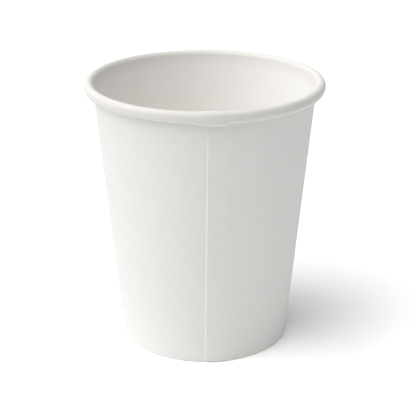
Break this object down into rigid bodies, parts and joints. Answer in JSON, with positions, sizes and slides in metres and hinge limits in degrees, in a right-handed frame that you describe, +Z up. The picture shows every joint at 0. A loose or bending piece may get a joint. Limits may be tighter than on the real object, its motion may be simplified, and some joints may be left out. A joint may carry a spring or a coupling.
{
  "type": "paper coffee cup",
  "caption": "Plain white single-wall paper hot-drink cup: tapered wall with a lap seam, rolled rim, folded heel and a recessed base disc.",
  "frame": {"origin": "middle of the ring that the cup stands on, in the plane of the table", "axes": "+Z up along the axis of the cup, -Y towards the lap seam"},
  "size_m": [0.08, 0.0801, 0.0906],
  "materials": {
    "wall_board": "matte",
    "base_board": "matte"
  },
  "bodies": {
    "root": {"side_wall": "wall_board", "base_disc": "base_board"}
  },
  "joints": []
}
